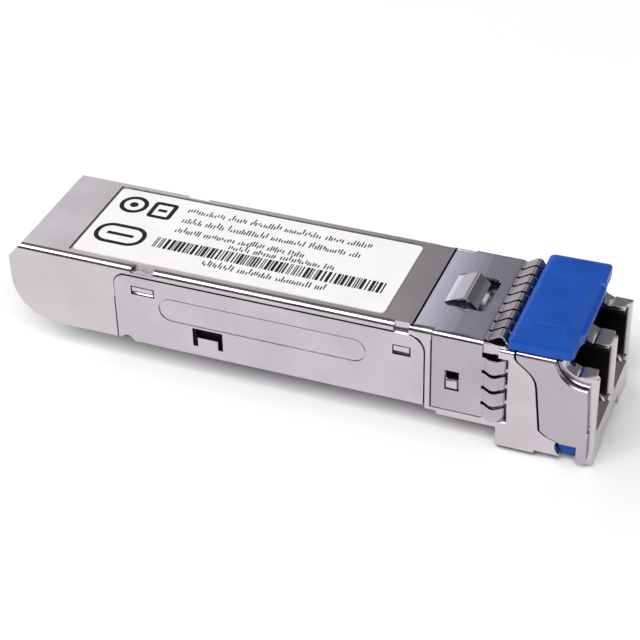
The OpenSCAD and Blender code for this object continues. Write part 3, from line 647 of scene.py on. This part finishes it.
def lattice_shell(name, xs, ys, zs, move):
    """The skin of a box with grid lines at xs, ys and zs, each corner placed by move(x, y, z)."""
    mesh = bmesh.new()
    made = {}

    def corner(i, j, k):
        if (i, j, k) not in made:
            made[i, j, k] = mesh.verts.new(move(xs[i], ys[j], zs[k]))
        return made[i, j, k]

    last = (len(xs) - 1, len(ys) - 1, len(zs) - 1)
    for i in range(last[0]):
        for j in range(last[1]):
            mesh.faces.new([corner(i, j, last[2]), corner(i + 1, j, last[2]),
                            corner(i + 1, j + 1, last[2]), corner(i, j + 1, last[2])])
            mesh.faces.new([corner(i, j, 0), corner(i, j + 1, 0),
                            corner(i + 1, j + 1, 0), corner(i + 1, j, 0)])
    for k in range(last[2]):
        for i in range(last[0]):
            mesh.faces.new([corner(i, 0, k), corner(i + 1, 0, k),
                            corner(i + 1, 0, k + 1), corner(i, 0, k + 1)])
            mesh.faces.new([corner(i, last[1], k), corner(i, last[1], k + 1),
                            corner(i + 1, last[1], k + 1), corner(i + 1, last[1], k)])
        for j in range(last[1]):
            mesh.faces.new([corner(0, j, k), corner(0, j, k + 1),
                            corner(0, j + 1, k + 1), corner(0, j + 1, k)])
            mesh.faces.new([corner(last[0], j, k), corner(last[0], j + 1, k),
                            corner(last[0], j + 1, k + 1), corner(last[0], j, k + 1)])
    data = bpy.data.meshes.new(name)
    mesh.to_mesh(data)
    mesh.free()
    for face in data.polygons:
        face.use_smooth = True
    return data


def ease(value, start, end):
    """0 before start, 1 after end, and smooth between them."""
    t = min(max((value - start) / (end - start), 0), 1)
    return t * t * (3 - 2 * t)


def grid_lines(start, end, edges, count):
    """count even steps from start to end, with more lines close to each of edges."""
    lines = {start, end}
    lines.update(start + (end - start) * i / count for i in range(count + 1))
    for edge in edges:
        lines.update(edge + shift * MM for shift in (-0.15, -0.1, -0.05, 0, 0.05, 0.1, 0.15))
    closest = 0.035 * MM
    kept = []
    for line in sorted(v for v in lines if start <= v <= end):
        if not kept or line - kept[-1] > closest:
            kept.append(line)
    kept[-1] = end
    return kept


def make_grip(materials):
    """Pillow-edged cap with a ramp for the finger, two sunk marks and an undercut at both ends."""
    low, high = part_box("bail_grip")
    half = high.y
    thickness = high.z - low.z
    ramp_half, ramp_length, ramp_side = 4.0 * MM, 1.35 * MM, 0.35 * MM
    mark_x, mark_y, mark_half = low.x + 2.75 * MM, 3.75 * MM, 1.3 * MM
    mark_end = 0.06 * MM
    mark_floor, mark_rim = 0.14 * MM, 0.28 * MM
    undercut = 0.26 * MM
    undercut_start, undercut_end = half - 0.75 * MM, half - 0.6 * MM
    front_inset = 0.2 * MM
    inset_start, inset_end, inset_rear = ramp_half - 0.2 * MM, ramp_half + 0.6 * MM, high.x - 2 * MM
    corner = 0.5 * MM
    # how far the top goes down, in mm: at the rim, to the rear, at the ramp's foot, in the marks
    rim_drop, rear_drop, ramp_drop, mark_drop = 0.09, 0.10, 0.34, 0.09
    rim_width = 0.45

    def top_drop(x, y):
        """How far the top lies under its highest level."""
        rim = min(x - low.x, high.x - x, half - abs(y)) / MM
        drop = rim_drop * (1 - ease(rim, 0, rim_width))
        drop += rear_drop * (high.x - x) / (high.x - low.x)
        ramp = max(0, 1 - (high.x - x) / ramp_length)
        drop += ramp_drop * ramp * (1 - ease(abs(y), ramp_half - ramp_side, ramp_half))
        mark = ((1 - ease(abs(x - mark_x), mark_half - mark_end, mark_half + mark_end))
                * (1 - ease(abs(abs(y) - mark_y), mark_floor, mark_rim)))
        return (drop + mark_drop * mark) * MM

    def round_corner(x, y):
        """Pulls the four corners in to a radius of corner, seen from above."""
        middle = (low.x + high.x) / 2
        dx = abs(x - middle) - ((high.x - low.x) / 2 - corner)
        dy = abs(y) - (half - corner)
        if dx <= 0 or dy <= 0:
            return x, y
        shrink = 1 - max(dx, dy) / math.hypot(dx, dy)
        return x - math.copysign(dx * shrink, x - middle), y - math.copysign(dy * shrink, y)

    def move(x, y, z):
        level = (z - low.z) / thickness
        foot = undercut * ease(abs(y), undercut_start, undercut_end)
        top = thickness - top_drop(x, y)
        inset = front_inset * ease(abs(y), inset_start, inset_end) * ease(x, inset_rear, high.x)
        x, y = round_corner(x, y)
        return Vector((x - inset, y, low.z + foot + level * (top - foot)))

    # the grid is finer where the top bends
    rims = [r * MM for r in (0.04, 0.12, 0.25, 0.5, 0.75)]
    ends = [mark_x - mark_half, mark_x + mark_half, high.x - ramp_length]
    sides = [ramp_half - 0.17 * MM, half - 0.68 * MM, mark_y - 0.18 * MM, mark_y + 0.18 * MM]
    xs = grid_lines(low.x, high.x,
                    ends + [low.x + r for r in rims] + [high.x - r for r in rims], 24)
    ys = grid_lines(-half, half,
                    [sign * y for sign in (-1, 1) for y in sides + [half - r for r in rims]], 40)
    zs = [low.z + thickness * v for v in (0, 0.06, 0.2, 0.5, 0.8, 0.94, 1)]
    data = lattice_shell("grip_cap", xs, ys, zs, move)
    piece = add_object("grip_cap", data, materials["blue_plastic"], "bail")
    round_edges(piece, 0.2 * MM, 4, GRIP_EDGE_ANGLE)
    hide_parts("bail_grip")


# ---- label print --------------------------------------------------------------------------------

def make_print(ink):
    """Generic marks, rows of short strokes in place of words, and a random bar pattern."""
    low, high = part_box("label")
    rear = low.x - LABEL_REAR * MM
    top = high.z + INK_ABOVE * MM
    bottom = high.z - INK_BELOW * MM
    mesh = bmesh.new()
    draw = random.Random(PRINT_SEED)

    def place(x, y, z):
        """A point of the print, x and y in mm and z in metres."""
        return Vector((rear + x * MM, y * MM, z))

    def prism(outline, hole=None):
        """A thin flat shape with that outline, or the band between outline and hole."""
        rows = [[mesh.verts.new(place(x, y, z)) for x, y in ring]
                for ring in ([outline] if hole is None else [outline, hole]) for z in (bottom, top)]
        count = len(outline)
        for i in range(count):
            j = (i + 1) % count
            mesh.faces.new([rows[0][i], rows[0][j], rows[1][j], rows[1][i]])
            if hole is not None:
                mesh.faces.new([rows[1][i], rows[1][j], rows[3][j], rows[3][i]])
                mesh.faces.new([rows[2][j], rows[2][i], rows[3][i], rows[3][j]])
                mesh.faces.new([rows[0][j], rows[0][i], rows[2][i], rows[2][j]])
        if hole is None:
            mesh.faces.new(rows[1])
            mesh.faces.new(rows[0][::-1])

    def rounded(x, y, half_x, half_y, corner, steps=8):
        """The outline of a rectangle around x, y with rounded corners."""
        points = []
        for turn, (sx, sy) in enumerate([(1, 1), (-1, 1), (-1, -1), (1, -1)]):
            for i in range(steps + 1):
                a = math.pi / 2 * (turn + i / steps)
                points.append((x + sx * (half_x - corner) + corner * math.cos(a),
                               y + sy * (half_y - corner) + corner * math.sin(a)))
        return points

    def frame_mark(x, y, half_x, half_y, corner):
        """A bold outline with rounded corners."""
        inner = max(corner - INK_LINE, 0.05)
        prism(rounded(x, y, half_x, half_y, corner),
              rounded(x, y, half_x - INK_LINE, half_y - INK_LINE, inner))

    def bar(x0, x1, y0, y1):
        prism([(x0, y0), (x1, y0), (x1, y1), (x0, y1)])

    def dash(x, y, half_x, half_y=0.21):
        """A short bar in the middle of a mark."""
        bar(x - half_x, x + half_x, y - half_y, y + half_y)

    def stroke_row(x0, x1, y):
        """Groups of short upright strokes of uneven height, in place of words."""
        line = 0.13
        shortest_word = 0.7
        word_gap = 0.34
        x = x0
        while x < x1 - shortest_word:
            for _ in range(draw.randint(7, 16)):
                foot = y - 0.4 + draw.choice([0, 0, 0, 0.2])
                tall = draw.choice([0.4, 0.55, 0.55, 0.84])
                bar(x, x + line, foot, foot + tall)
                x += line + draw.choice([0.10, 0.13, 0.17])
                if x > x1:
                    break
            x += word_gap

    def bar_pattern(x0, x1, y0, y1):
        """Upright bars of random widths and gaps."""
        x = x0
        while x < x1:
            width = draw.choice([0.1, 0.14, 0.2, 0.3])
            bar(x, x + width, y0, y1)
            x += width + draw.choice([0.09, 0.1, 0.16, 0.22])

    frame_mark(*RING_MARK, 1.42, 1.42, 1.40)
    prism(rounded(*RING_MARK, 0.42, 0.42, 0.41))
    frame_mark(*SQUARE_MARK, 1.22, 1.36, 0.40)
    dash(*SQUARE_MARK, 0.45)
    frame_mark(*PILL_MARK, 2.55, 1.62, 1.5)
    dash(*PILL_MARK, 1.35)
    for row in STROKE_ROWS:
        stroke_row(*row)
    bar_pattern(*BAR_PATTERN)
    bmesh.ops.recalc_face_normals(mesh, faces=mesh.faces)
    data = bpy.data.meshes.new("label_print")
    mesh.to_mesh(data)
    mesh.free()
    add_object("label_print", data, ink, "module")


# ---- assembly -----------------------------------------------------------------------------------

bpy.context.scene.view_settings.view_transform = "Standard"
make_camera()
make_world()
make_floor()
for name, (place, size, power) in LIGHTS.items():
    soft_light(name, place, size, power)
materials = make_materials()
dress_cad(materials)
make_grip(materials)
make_print(label_ink())
